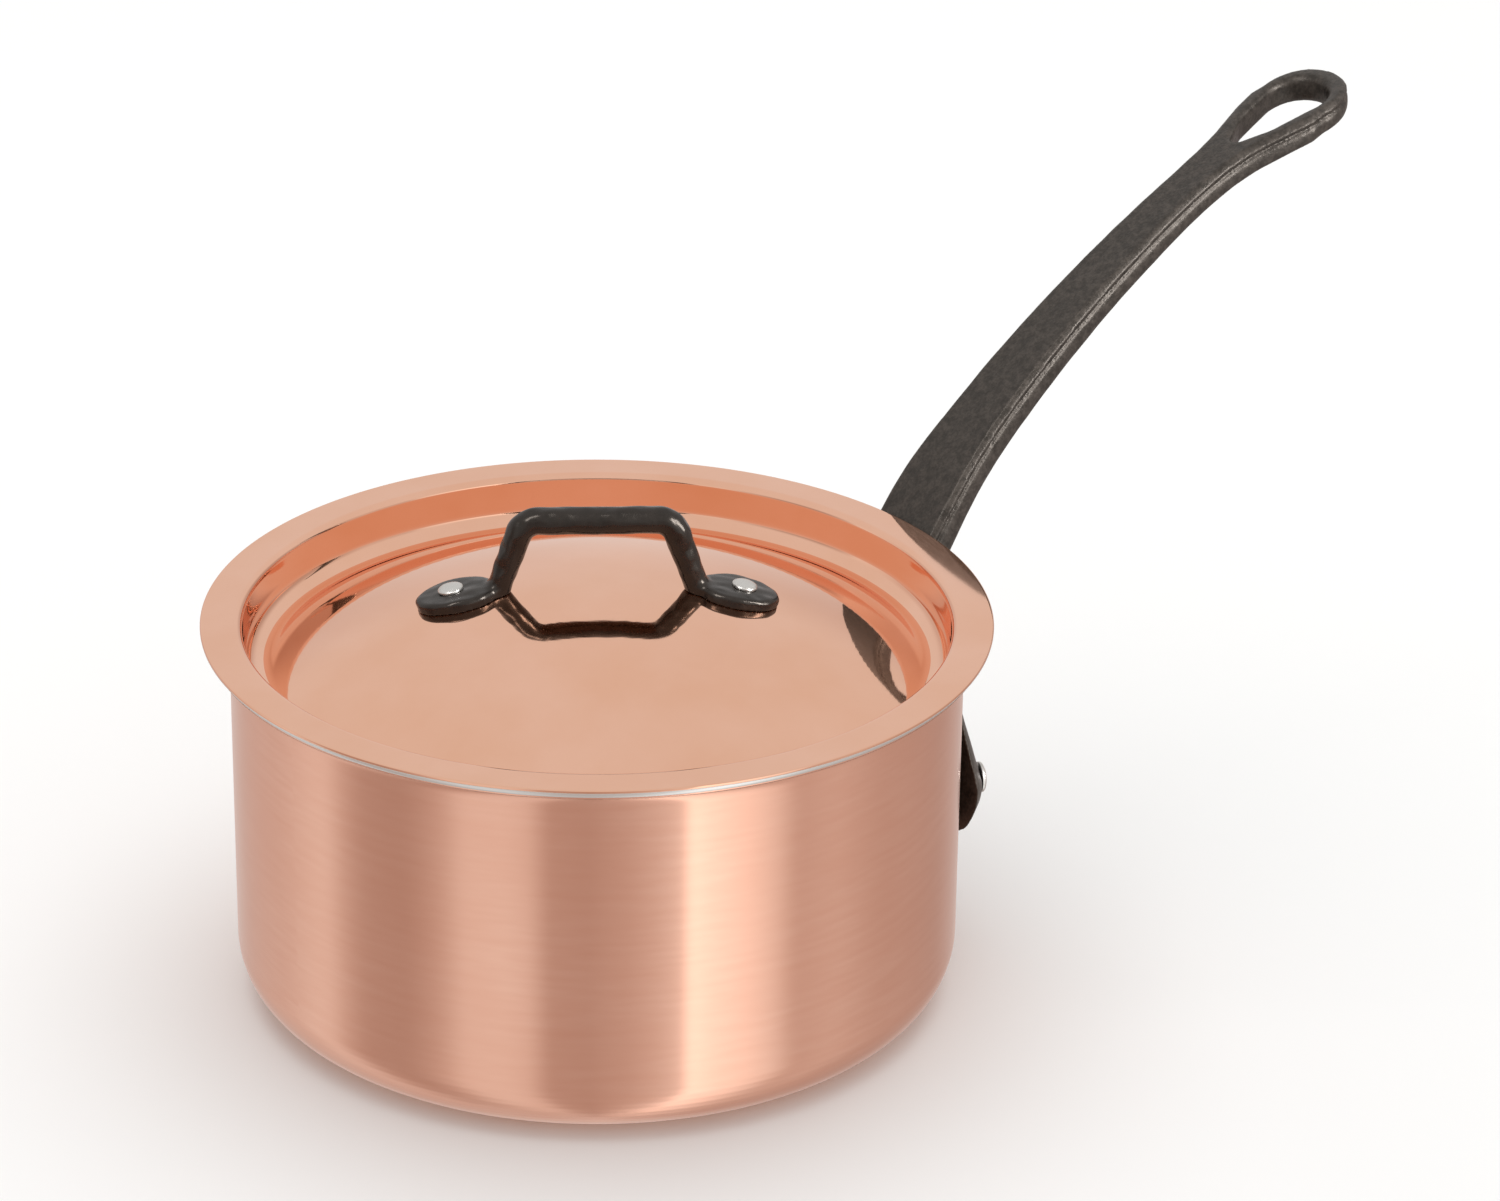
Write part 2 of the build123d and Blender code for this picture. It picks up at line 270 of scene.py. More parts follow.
# Castings are signed distances on a grid of cells, turned into a mesh by OpenVDB
def smoothLine(points, steps):
    # natural cubic through the points, spaced by chord
    p = np.array(points, float)
    knots = np.concatenate([[0], np.cumsum(np.linalg.norm(np.diff(p, axis=0), axis=1))])
    gaps, count = np.diff(knots), len(p)
    system, right = np.eye(count), np.zeros_like(p)
    for i in range(1, count - 1):
        system[i, i - 1:i + 2] = gaps[i - 1], 2 * (gaps[i - 1] + gaps[i]), gaps[i]
        right[i] = 6 * ((p[i + 1] - p[i]) / gaps[i] - (p[i] - p[i - 1]) / gaps[i - 1])
    curve = np.linalg.solve(system, right)
    t = np.linspace(0, knots[-1], steps)
    i = np.clip(np.searchsorted(knots, t) - 1, 0, count - 2)
    h, u, v = gaps[i][:, None], (knots[i + 1] - t)[:, None], (t - knots[i])[:, None]
    return (curve[i] * u ** 3 + curve[i + 1] * v ** 3) / (6 * h) + \
        (p[i] / h - curve[i] * h / 6) * u + (p[i + 1] / h - curve[i + 1] * h / 6) * v


def lineField(x, y, line):
    # distance to a line of points, how far along it, and which side (left is positive)
    shape = np.broadcast(x, y).shape
    best, along, side = np.full(shape, 1e9), np.zeros(shape), np.zeros(shape)
    for i in range(len(line) - 1):
        (ax, ay), (bx, by) = line[i], line[i + 1]
        dx, dy = bx - ax, by - ay
        t = np.clip(((x - ax) * dx + (y - ay) * dy) / (dx * dx + dy * dy + 1e-12), 0, 1)
        ex, ey = x - ax - t * dx, y - ay - t * dy
        near = ex * ex + ey * ey
        closer = near < best
        best = np.where(closer, near, best)
        along = np.where(closer, (i + t) / (len(line) - 1), along)
        side = np.where(closer, dx * ey - dy * ex, side)
    return np.sqrt(best), along, np.sign(side)


def shapeField(x, y, corners):
    # signed distance to a closed outline, negative inside
    loop = np.vstack([corners, corners[:1]])
    distance = lineField(x, y, loop)[0]
    inside = np.zeros(distance.shape, bool)
    for (ax, ay), (bx, by) in zip(loop[:-1], loop[1:]):
        if ay != by:
            inside ^= ((ay > y) != (by > y)) & (x < (bx - ax) * (y - ay) / (by - ay) + ax)
    return np.where(inside, -distance, distance)


def roundMax(a, b, radius):
    return np.minimum(np.maximum(a, b), -radius) + np.hypot(np.maximum(a + radius, 0), np.maximum(b + radius, 0))


def blendMin(a, b, width):
    share = np.clip(0.5 + 0.5 * (b - a) / width, 0, 1)
    return b + (a - b) * share - width * share * (1 - share)


def castRipple(x, y, z, seed, shortest, longest, height):
    # slow unevenness of a sand casting: a few waves in fixed random directions
    source = random.Random(seed)
    total, waves = 0, 14
    for step in range(waves):
        way = Vector((source.gauss(0, 1), source.gauss(0, 1), source.gauss(0, 1))).normalized()
        turn = 2 * math.pi / (shortest + (longest - shortest) * step / (waves - 1))
        total = total + np.sin((x * way.x + y * way.y + z * way.z) * turn + source.uniform(0, 6.28))
    return total * height / waves


def castMesh(name, blocks, cell, field, material, turn=0.0):
    farthest = 3.0
    grid = vdb.FloatGrid(farthest)
    for low, high in blocks:
        first = [math.floor(v / cell) for v in low]
        last = [math.ceil(v / cell) for v in high]
        x, y, z = (np.arange(a, b + 1) * cell for a, b in zip(first, last))
        values = field(x[:, None, None], y[None, :, None], z[None, None, :])
        values = np.clip(values, -farthest, farthest)
        grid.copyFromArray(np.ascontiguousarray(values, np.float32), ijk=tuple(first))
    found = grid.convertToPolygons(isovalue=0.0, adaptivity=0.0)
    points = found[0] * cell * mm
    c, s = math.cos(turn), math.sin(turn)
    points = np.stack([points[:, 0] * c - points[:, 1] * s, points[:, 0] * s + points[:, 1] * c, points[:, 2]], 1)
    faces = [tuple(f) for part in found[1:] for f in part.tolist()]
    mesh = bpy.data.meshes.new(name)
    mesh.from_pydata(points.tolist(), [], faces)
    mesh.validate()
    mesh.shade_smooth()
    mesh.materials.append(material)
    pointOutward(mesh)
    piece = bpy.data.objects.new(name, mesh)
    bpy.context.scene.collection.objects.link(piece)
    print(name, "triangles", sum(len(f) - 2 for f in faces))
    return piece


panHandle = {
    # top line as (distance from the pan's axis, height), half width of the bar as (distance, half width)
    "topLine": [(98, 87.5), (112, 110.2), (121, 121.9), (130, 131.4), (149, 148.1), (175, 167.4),
                (205, 186.0), (240, 203.0), (275.6, 214.6)],
    "halfWidths": [(98, 12.4), (112, 12.0), (121, 11.6), (130, 10.5), (149, 9.2), (175, 8.0),
                   (205, 7.0), (224, 7.0), (236, 8.7), (247, 12.0), (254, 13.75)],
    "rootThickness": 10.4, "endThickness": 7.8, "loopCentre": 261.2, "loopRadius": 13.5,
    "eye": [(237.5, 2.4), (246.0, 6.8), (259.6, 9.6)],
    "chamfer": 1.5, "underRound": 1.8, "eyeRound": 2.0, "belly": 0.3, "widen": 0.6,
    "creaseDepth": 0.75, "creaseBelow": 2.7, "creaseWidth": 0.5,
    "plateThickness": 5.5, "plateRound": 2.4, "plateTop": 90.0, "plateTopHalf": 13.0, "plateArch": 47.0,
    "lobeTurn": 23.5, "lobeHeight": 47.0, "lobeRadius": 15.5, "lobeCrown": 11.0, "seatRadius": 4.9,
    "armTurn": 21.0, "armHeight": 79.0, "armThickness": 2.5, "armRadius": 7.5,
    "lobeBlend": 3.0, "barBlend": 6.0, "wallGap": 0.03,
    "ripple": 0.12, "waves": (4.0, 14.0), "cell": 0.56, "seed": 11,
}
handleRivets = {
    # places are (turn round Z from the handle, height, thickness of the plate under the head)
    "places": [(0, 72.0, 5.5), (23.5, 47.0, 11.0), (-23.5, 47.0, 11.0)],
    "seatDepth": 0.4, "headRadius": 4.5, "headHeight": 1.9, "insideRadius": 6.5, "insideHeight": 1.4,
    "insideGap": 0.2, "dent": 0.16, "dentSize": 2.6, "seed": 5,
}
lidHandle = {
    "turn": -34.9, "bar": 7.8, "legTaper": 0.5, "height": 138.7, "halfTop": 20.5, "halfFoot": 28.0, "bend": 6.0,
    "footReach": 38.6, "footLength": 23.4, "footWidth": 17.6, "footThickness": 3.4, "footRound": 1.2,
    "rivetReach": 40.0, "seatRadius": 3.9, "seatDepth": 0.05, "footFall": 0.006, "footBlend": 1.8, "domeGap": 0.02,
    "taperOver": 18.0, "ripple": 0.3, "waves": (3.0, 8.0), "cell": 0.36, "seed": 4,
}
lidRivets = {
    "headRadius": 3.6, "headHeight": 1.5, "insideRadius": 4.0, "insideHeight": 1.2, "insideGap": 0.1,
    "dent": 0.12, "dentSize": 2.2, "seed": 9,
}


def circleLine(centre, radius, start, end, steps=48):
    angles = np.radians(np.linspace(start, end, steps + 1))
    return np.stack([centre[0] + radius * np.cos(angles), centre[1] + radius * np.sin(angles)], 1)


def hullLine(circles):
    # outline round circles on one axis, from the small end to the large one
    upper = []
    for (x0, r0), (x1, r1) in zip(circles, circles[1:]):
        lean = math.acos((r0 - r1) / (x1 - x0))
        upper += [(x0 + r0 * math.cos(lean), r0 * math.sin(lean)), (x1 + r1 * math.cos(lean), r1 * math.sin(lean))]
    firstLean = math.degrees(math.atan2(upper[0][1], upper[0][0] - circles[0][0]))
    lastLean = math.degrees(math.atan2(upper[-1][1], upper[-1][0] - circles[-1][0]))
    start = circleLine((circles[0][0], 0), circles[0][1], 180, firstLean, 16)
    end = circleLine((circles[-1][0], 0), circles[-1][1], lastLean, 0, 24)
    half = np.vstack([start, np.array(upper), end])
    return np.vstack([half, half[::-1] * (1, -1)])


def barSection(x, y, z):
    s = panHandle
    top = smoothLine(s["topLine"], 150)
    top = np.vstack([top[0] + (top[0] - top[1]) * 8, top, top[-1] + (top[-1] - top[-2]) * 8])
    way = np.gradient(top, axis=0)
    way /= np.linalg.norm(way, axis=1)[:, None]
    up = np.stack([-way[:, 1], way[:, 0]], 1)
    thickness = np.linspace(s["rootThickness"], s["endThickness"], len(top))
    distance, along, side = lineField(x[:, 0, :], z[0], top - up * thickness[:, None] / 2)
    half = (s["rootThickness"] + (s["endThickness"] - s["rootThickness"]) * along)[:, None, :] / 2
    return (distance * side)[:, None, :], half


def panHandleField(x, y, z):
    s = panHandle
    wall = pan["wallRadius"]
    lift, half = barSection(x, y, z)
    over, under, depth = lift - half, -lift - half, half - lift
    widths = smoothLine(s["halfWidths"], 90)
    nose = circleLine((s["loopCentre"], 0), s["loopRadius"], 100, 0, 30)
    outer = np.vstack([widths, nose])
    rim = shapeField(x[:, :, 0], y[0].T, np.vstack([outer, outer[::-1] * (1, -1)]))[:, :, None]
    eye = shapeField(x[:, :, 0], y[0].T, hullLine(s["eye"]))[:, :, None]
    crease = s["creaseDepth"] * np.exp(-((depth - s["creaseBelow"]) / s["creaseWidth"]) ** 2)
    swell = np.clip((depth - s["creaseBelow"]) / (2 * half - s["creaseBelow"]), 0, 1)
    side = rim - s["widen"] + crease - s["belly"] * np.sin(np.pi * swell)
    bar = np.maximum(np.maximum(over, side), (over + side + s["chamfer"]) * math.sqrt(0.5))
    bar = roundMax(bar, under, s["underRound"])
    bar = roundMax(bar, -eye, s["eyeRound"])
    reach = np.hypot(x, y)
    plate = roundMax(reach - wall - s["plateThickness"], plateOutline(y, z), s["plateRound"])
    crown = (s["lobeRadius"] ** 2 + s["lobeCrown"] ** 2) / (2 * s["lobeCrown"])
    for way in (1, -1):
        # each lobe thins upward along an arm
        low = radialPoint(way * s["lobeTurn"], wall + s["lobeCrown"] - crown, s["lobeHeight"])
        tip = radialPoint(way * s["armTurn"], wall + s["armThickness"] - s["armRadius"], s["armHeight"])
        step = tip - low
        share = ((x - low.x) * step.x + (y - low.y) * step.y + (z - low.z) * step.z) / step.length_squared
        share = np.clip(share, 0, 1)
        gap = np.sqrt((x - low.x - share * step.x) ** 2 + (y - low.y - share * step.y) ** 2
                      + (z - low.z - share * step.z) ** 2)
        plate = blendMin(plate, gap - crown - (s["armRadius"] - crown) * share, s["lobeBlend"])
    whole = blendMin(bar, plate, s["barBlend"])
    whole = whole + castRipple(x, y, z, s["seed"], *s["waves"], s["ripple"])
    for turn, height, thickness in handleRivets["places"]:
        out = math.radians(turn)
        level = x * math.cos(out) + y * math.sin(out) - wall - thickness + handleRivets["seatDepth"]
        aside = np.hypot(-x * math.sin(out) + y * math.cos(out), z - height)
        whole = np.maximum(whole, -np.maximum(aside - s["seatRadius"], -level))
    return np.maximum(whole, wall + s["wallGap"] - reach)


def radialPoint(degrees, radius, height):
    out = math.radians(degrees)
    return Vector((radius * math.cos(out), radius * math.sin(out), height))


def plateOutline(y, z):
    s = panHandle
    lobeY = pan["wallRadius"] * math.sin(math.radians(s["lobeTurn"]))
    outer = lobeY + s["lobeRadius"]
    shoulder = (s["plateTopHalf"] + 7.0, s["lobeHeight"] + s["lobeRadius"] + 6.0)
    side = smoothLine([(s["plateTopHalf"], s["plateTop"]), shoulder, (outer - 1.0, s["lobeHeight"] + 6.0)], 24)
    foot = smoothLine([side[-1], (outer - 0.5, s["lobeHeight"] - 2), (lobeY + 7.0, s["lobeHeight"] - 14),
                       (lobeY - 4, s["lobeHeight"] - 13.5), (lobeY - 11.6, s["lobeHeight"] - 10)], 24)
    arch = smoothLine([foot[-1], (13.0, s["plateArch"] - 4), (0, s["plateArch"])], 16)
    half = np.vstack([side, foot[1:], arch[1:]])
    return shapeField(y[0], z[0], np.vstack([half, half[::-1] * (-1, 1)]))[None]


def lidHandleField(x, y, z):
    s = lidHandle
    centre = lidTop() - lid["domeRadius"]
    footZ = centre + math.sqrt(lid["domeRadius"] ** 2 - s["halfFoot"] ** 2)
    corner, foot = Vector((s["halfTop"], s["height"])), Vector((s["halfFoot"], footZ))
    down = (foot - corner).normalized()
    turn = math.acos(down.x)
    cut = s["bend"] * math.tan(turn / 2)
    start = corner - Vector((cut, 0))
    arc = circleLine((start.x, start.y - s["bend"]), s["bend"], 90, 90 - math.degrees(turn), 12)
    path = np.vstack([[(0, s["height"])], arc, [foot]])
    flat = lineField(np.abs(x[:, 0, :]), z[0], path)[0][:, None, :]
    lower = np.clip((s["height"] - z) / s["taperOver"], 0, 1)
    bar = np.hypot(flat, y) - s["bar"] / 2 + s["legTaper"] * lower
    lean = math.asin(s["rivetReach"] / lid["domeRadius"])
    seatX, seatZ = lid["domeRadius"] * math.sin(lean), centre + lid["domeRadius"] * math.cos(lean)
    along = (np.abs(x) - seatX) * math.cos(lean) - (z - seatZ) * math.sin(lean)
    level = (np.abs(x) - seatX) * math.sin(lean) + (z - seatZ) * math.cos(lean)
    middle = along - (s["footReach"] - s["rivetReach"])
    oval = (np.hypot(middle / (s["footLength"] / 2), y / (s["footWidth"] / 2)) - 1) * s["footWidth"] / 2
    fall = s["footFall"] * (middle ** 2 + y ** 2)
    pad = roundMax(oval, level - s["footThickness"] + fall, s["footRound"])
    whole = blendMin(bar, pad, s["footBlend"])
    whole = whole + castRipple(x, y, z, s["seed"], *s["waves"], s["ripple"])
    seat = np.maximum(np.hypot(along, y) - s["seatRadius"], s["footThickness"] - s["seatDepth"] - level)
    whole = np.maximum(whole, -seat)
    dome = np.sqrt(x ** 2 + y ** 2 + (z - centre) ** 2)
    return np.maximum(whole, lid["domeRadius"] + s["domeGap"] - dome)


# Rivet heads stand on points that carry the way each head faces and its size
def rivetTree():
    tree = bpy.data.node_groups.new("rivetHeads", "GeometryNodeTree")
    addSockets(tree, "INPUT", Seats="Geometry", Head="Object", Dent_Depth="Float", Dents_Per_Metre="Float",
               Seed="Float", Finish="Material")
    addSockets(tree, "OUTPUT", Heads="Geometry")
    start = addNode(tree, "NodeGroupInput").outputs
    head = addNode(tree, "GeometryNodeObjectInfo", links={"Object": start["Head"]}).outputs["Geometry"]
    facing = addNode(tree, "GeometryNodeInputNamedAttribute", {"Name": "facing"}, data_type="FLOAT_VECTOR").outputs[0]
    size = addNode(tree, "GeometryNodeInputNamedAttribute", {"Name": "size"}, data_type="FLOAT_VECTOR").outputs[0]
    turn = addNode(tree, "FunctionNodeAlignRotationToVector", links={"Vector": facing}, axis="Z").outputs[0]
    points = addNode(tree, "GeometryNodeMeshToPoints", links={"Mesh": start["Seats"]}).outputs[0]
    placed = addNode(tree, "GeometryNodeInstanceOnPoints",
                     links={"Points": points, "Instance": head, "Rotation": turn, "Scale": size}).outputs[0]
    real = addNode(tree, "GeometryNodeRealizeInstances", links={"Geometry": placed}).outputs[0]
    place = addNode(tree, "GeometryNodeInputPosition").outputs[0]
    dents = addNode(tree, "ShaderNodeTexNoise", {"Detail": 1.0},
                    {"Vector": place, "Scale": start["Dents Per Metre"], "W": start["Seed"]},
                    noise_dimensions="4D").outputs[0]
    lowered = addNode(tree, "ShaderNodeMath", {1: -0.75}, {0: dents}, operation="ADD").outputs[0]
    depth = addNode(tree, "ShaderNodeMath", links={0: lowered, 1: start["Dent Depth"]},
                    operation="MULTIPLY").outputs[0]
    normal = addNode(tree, "GeometryNodeInputNormal").outputs[0]
    push = addNode(tree, "ShaderNodeVectorMath", links={"Vector": normal, "Scale": depth},
                   operation="SCALE").outputs[0]
    dented = addNode(tree, "GeometryNodeSetPosition", links={"Geometry": real, "Offset": push}).outputs[0]
    smooth = addNode(tree, "GeometryNodeSetShadeSmooth", links={"Geometry": dented}).outputs[0]
    finish = addNode(tree, "GeometryNodeSetMaterial",
                     links={"Geometry": smooth, "Material": start["Finish"]}).outputs[0]
    addNode(tree, "NodeGroupOutput", links={"Heads": finish})
    return tree


def rivetHeads(name, seats, sizes, head, material, tree):
    # seats are (place, facing, radius, height), lengths in millimetres
    mesh = bpy.data.meshes.new(name)
    mesh.from_pydata([tuple(place * mm) for place, facing, radius, height in seats], [], [])
    scales = [(radius * mm, radius * mm, height * mm) for place, facing, radius, height in seats]
    for label, values in (("facing", [seat[1] for seat in seats]), ("size", scales)):
        layer = mesh.attributes.new(label, "FLOAT_VECTOR", "POINT")
        layer.data.foreach_set("vector", [v for value in values for v in value])
    piece = bpy.data.objects.new(name, mesh)
    bpy.context.scene.collection.objects.link(piece)
    modifier = piece.modifiers.new("heads", "NODES")
    modifier.node_group = tree
    setInputs(modifier, Head=head, DentDepth=sizes["dent"] * mm, DentsPerMetre=1 / (sizes["dentSize"] * mm),
              Seed=float(sizes["seed"]), Finish=material)
    return settle(piece)


def headProfile():
    # a unit head: radius 1, height 1, on a flat back; the instance's scale is in metres per unit
    edge = 0.3
    dome = [(math.sin(a), edge + (1 - edge) * math.cos(a)) for a in np.linspace(math.pi / 2, 0, 16)]
    return [(0, 0), (0.55, 0), (0.97, 0), (1.0, 0.05)] + [(1.0, edge * 0.7)] + dome


def panRivetSeats():
    s, seats = handleRivets, []
    inside = pan["wallRadius"] - pan["copper"] - pan["steel"] - s["insideGap"]
    for turn, height, thickness in s["places"]:
        out = Vector((math.cos(math.radians(turn)), math.sin(math.radians(turn)), 0))
        up = Vector((0, 0, height))
        outside = pan["wallRadius"] + thickness - s["seatDepth"]
        seats.append((out * outside + up, out, s["headRadius"], s["headHeight"]))
        seats.append((out * inside + up, -out, s["insideRadius"], s["insideHeight"]))
    return seats


def lidRivetSeats():
    s, seats = lidRivets, []
    lean = math.asin(lidHandle["rivetReach"] / lid["domeRadius"])
    for turn in (lidHandle["turn"], lidHandle["turn"] + 180):
        a = math.radians(turn)
        out = Vector((math.cos(a) * math.sin(lean), math.sin(a) * math.sin(lean), math.cos(lean)))
        centre = Vector((0, 0, lidTop() - lid["domeRadius"]))
        under = lid["domeRadius"] - lid["copper"] - lid["steel"] - s["insideGap"]
        over = lid["domeRadius"] + lidHandle["footThickness"]
        seats.append((centre + out * over, out, s["headRadius"], s["headHeight"]))
        seats.append((centre + out * under, -out, s["insideRadius"], s["insideHeight"]))
    return seats


# Materials
def brushedCopper():
    # copper sheet brushed round on the lathe: reflections keep their sides but smear up and down
    material, tree, shader = newMaterial("brushedCopper", Base_Color=linear("#F5BEA4"), Metallic=1.0, Roughness=0.21,
                                         Anisotropic=1.0, Anisotropic_Rotation=0.25)
    place = addNode(tree, "ShaderNodeTexCoord").outputs["Object"]
    parts = addNode(tree, "ShaderNodeSeparateXYZ", links={0: place}).outputs
    angle = addNode(tree, "ShaderNodeMath", links={0: parts["Y"], 1: parts["X"]}, operation="ARCTAN2").outputs[0]
    around = addNode(tree, "ShaderNodeCombineXYZ", links={0: angle, 2: parts["Z"]}).outputs[0]
    # scratches about 0.35 mm apart and 15 mm long, drawn coarser than the real 0.05 mm so that they show
    stretched = stretch(tree, around, 24.0, 1.0, 2200.0)
    fine = addNode(tree, "ShaderNodeTexNoise", {"Scale": 1.0, "Detail": 2.0, "Roughness": 0.6},
                   {"Vector": stretched}).outputs[0]
    stretchedWide = stretch(tree, around, 5.0, 1.0, 420.0)
    wide = addNode(tree, "ShaderNodeTexNoise", {"Scale": 1.0, "Detail": 3.0}, {"Vector": stretchedWide}).outputs[0]
    # slight tarnish in soft patches of a few centimetres
    cloud = addNode(tree, "ShaderNodeTexNoise", {"Scale": 28.0, "Detail": 3.0}, {"Vector": place}).outputs[0]
    shade = addNode(tree, "ShaderNodeMath", {2: -0.02}, {0: wide, 1: cloud}, operation="MULTIPLY_ADD").outputs[0]
    colours = twoColours(tree, shade, "#F3BBA2", "#F8C4AC", 0.1, 0.42)
    rough = spread(tree, wide, 0.18, 0.195)
    bump = addNode(tree, "ShaderNodeBump", {"Strength": 0.06, "Distance": 0.00004}, {"Height": fine}).outputs[0]
    radial = addNode(tree, "ShaderNodeTangent", direction_type="RADIAL", axis="Z").outputs[0]
    connect(tree, shader, Base_Color=colours, Roughness=rough, Normal=bump, Tangent=radial)
    return material


def polishedCopper():
    # spun and mirror-polished copper: clear reflections, slightly softened, with faint rings round the centre
    material, tree, shader = newMaterial("polishedCopper", Base_Color=linear("#F7C1A4"), Metallic=1.0, Roughness=0.05)
    place = addNode(tree, "ShaderNodeTexCoord").outputs["Object"]
    flat = stretch(tree, place, 1.0, 1.0, 0.0)
    radius = addNode(tree, "ShaderNodeVectorMath", links={0: flat}, operation="LENGTH").outputs[1]
    parts = addNode(tree, "ShaderNodeSeparateXYZ", links={0: place}).outputs
    angle = addNode(tree, "ShaderNodeMath", links={0: parts["Y"], 1: parts["X"]}, operation="ARCTAN2").outputs[0]
    polar = addNode(tree, "ShaderNodeCombineXYZ", links={0: angle, 1: radius, 2: parts["Z"]}).outputs[0]
    # polishing rings about 0.4 mm apart
    stretched = stretch(tree, polar, 3.0, 2500.0, 1200.0)
    rings = addNode(tree, "ShaderNodeTexNoise", {"Scale": 1.0, "Detail": 2.0}, {"Vector": stretched}).outputs[0]
    cloud = addNode(tree, "ShaderNodeTexNoise", {"Scale": 34.0, "Detail": 4.0}, {"Vector": place}).outputs[0]
    colours = twoColours(tree, cloud, "#F4BD9F", "#F8C4A9", 0.35, 0.7)
    rough = spread(tree, cloud, 0.03, 0.065)
    bump = addNode(tree, "ShaderNodeBump", {"Strength": 0.1, "Distance": 0.00001}, {"Height": rings}).outputs[0]
    connect(tree, shader, Base_Color=colours, Roughness=rough, Normal=bump)
    return material


def spunStainless():
    # stainless lining turned on the lathe: grey, with fine rings that spread the light
    material, tree, shader = newMaterial("spunStainless", Base_Color=linear("#E9E7E3"), Metallic=1.0, Roughness=0.3)
    place = addNode(tree, "ShaderNodeTexCoord").outputs["Object"]
    flat = stretch(tree, place, 1.0, 1.0, 0.0)
    radius = addNode(tree, "ShaderNodeVectorMath", links={0: flat}, operation="LENGTH").outputs[1]
    height = addNode(tree, "ShaderNodeSeparateXYZ", links={0: place}).outputs["Z"]
    across = addNode(tree, "ShaderNodeCombineXYZ", links={0: radius, 2: height}).outputs[0]
    rings = addNode(tree, "ShaderNodeTexNoise", {"Scale": 1800.0, "Detail": 2.0}, {"Vector": across}).outputs[0]
    rough = spread(tree, rings, 0.24, 0.36)
    bump = addNode(tree, "ShaderNodeBump", {"Strength": 0.4, "Distance": 0.00003}, {"Height": rings}).outputs[0]
    connect(tree, shader, Roughness=rough, Normal=bump)
    return material


def castIron():
    # sand-cast iron with a thin black finish: dark, grainy, with a broad soft sheen
    material, tree, shader = newMaterial("castIron", Base_Color=linear("#28231F"), Roughness=0.4,
                                         Specular_IOR_Level=0.5, Specular_Tint=linear("#F3E7DC"))
    place = addNode(tree, "ShaderNodeTexCoord").outputs["Object"]
    # sand grain near 0.6 mm, and broader unevenness near 2.6 mm
    grain = addNode(tree, "ShaderNodeTexNoise", {"Scale": 1100.0, "Detail": 3.0, "Roughness": 0.6},
                    {"Vector": place}).outputs[0]
    broad = addNode(tree, "ShaderNodeTexNoise", {"Scale": 380.0, "Detail": 4.0}, {"Vector": place}).outputs[0]
    speckle = addNode(tree, "ShaderNodeMath", links={0: broad, 1: grain}, operation="MULTIPLY").outputs[0]
    colours = twoColours(tree, speckle, "#1C1916", "#332E2A", 0.16, 0.36)
    rough = spread(tree, broad, 0.3, 0.46)
    low = addNode(tree, "ShaderNodeBump", {"Strength": 0.25, "Distance": 0.0002}, {"Height": broad}).outputs[0]
    bump = addNode(tree, "ShaderNodeBump", {"Strength": 0.8, "Distance": 0.00014},
                   {"Height": grain, "Normal": low}).outputs[0]
    connect(tree, shader, Base_Color=colours, Roughness=rough, Normal=bump)
    return material


def hammeredIron():
    # forged iron, hammered and waxed black: shallow round dents that each catch a small light
    material, tree, shader = newMaterial("hammeredIron", Base_Color=linear("#171412"), Roughness=0.24,
                                         Specular_IOR_Level=0.5, Specular_Tint=linear("#F1E3D6"))
    place = addNode(tree, "ShaderNodeTexCoord").outputs["Object"]
    # hammer dents about 4 mm across
    dents = addNode(tree, "ShaderNodeTexVoronoi", {"Scale": 230.0, "Smoothness": 0.9}, {"Vector": place},
                    feature="SMOOTH_F1").outputs[0]
    grain = addNode(tree, "ShaderNodeTexNoise", {"Scale": 900.0, "Detail": 3.0}, {"Vector": place}).outputs[0]
    colours = twoColours(tree, dents, "#100E0D", "#1E1A18")
    rough = spread(tree, grain, 0.17, 0.3)
    low = addNode(tree, "ShaderNodeBump", {"Strength": 0.75, "Distance": 0.0006}, {"Height": dents}).outputs[0]
    bump = addNode(tree, "ShaderNodeBump", {"Strength": 0.3, "Distance": 0.0001},
                   {"Height": grain, "Normal": low}).outputs[0]
    connect(tree, shader, Base_Color=colours, Roughness=rough, Normal=bump)
    return material


def steelRivet():
    # bright steel rivets, peened by hand: silver, a little uneven
    material, tree, shader = newMaterial("steelRivet", Base_Color=linear("#D6D3CE"), Metallic=1.0, Roughness=0.32)
    place = addNode(tree, "ShaderNodeTexCoord").outputs["Object"]
    marks = addNode(tree, "ShaderNodeTexNoise", {"Scale": 700.0, "Detail": 3.0}, {"Vector": place}).outputs[0]
    rough = spread(tree, marks, 0.24, 0.42)
    bump = addNode(tree, "ShaderNodeBump", {"Strength": 0.35, "Distance": 0.00015}, {"Height": marks}).outputs[0]
    connect(tree, shader, Roughness=rough, Normal=bump)
    return material


def paleFloor():
    # matt white card
    return newMaterial("paleCard", Base_Color=linear("#F4F4F3"), Roughness=0.9, Specular_IOR_Level=0.1)[0]


finishes = {"wall": brushedCopper(), "lid": polishedCopper(), "steel": spunStainless(), "cast": castIron(),
            "forged": hammeredIron(), "rivet": steelRivet(), "floor": paleFloor()}
print("materials ready")

# Spun sheets
spun = spunTree()
panCopperLine, panSteelLine = panProfiles()
lidCopperLine, lidSteelLine = lidProfiles()
panSheet = spin("panCopper", panCopperLine, pan["segments"], finishes["wall"], spun)
panLining = spin("panLining", panSteelLine, pan["segments"], finishes["steel"], spun)
lidSheet = spin("lidCopper", lidCopperLine, lid["segments"], finishes["lid"], spun)
lidLining = spin("lidLining", lidSteelLine, lid["segments"], finishes["steel"], spun)
print("spun sheets", [len(p.data.polygons) for p in (panSheet, panLining, lidSheet, lidLining)])

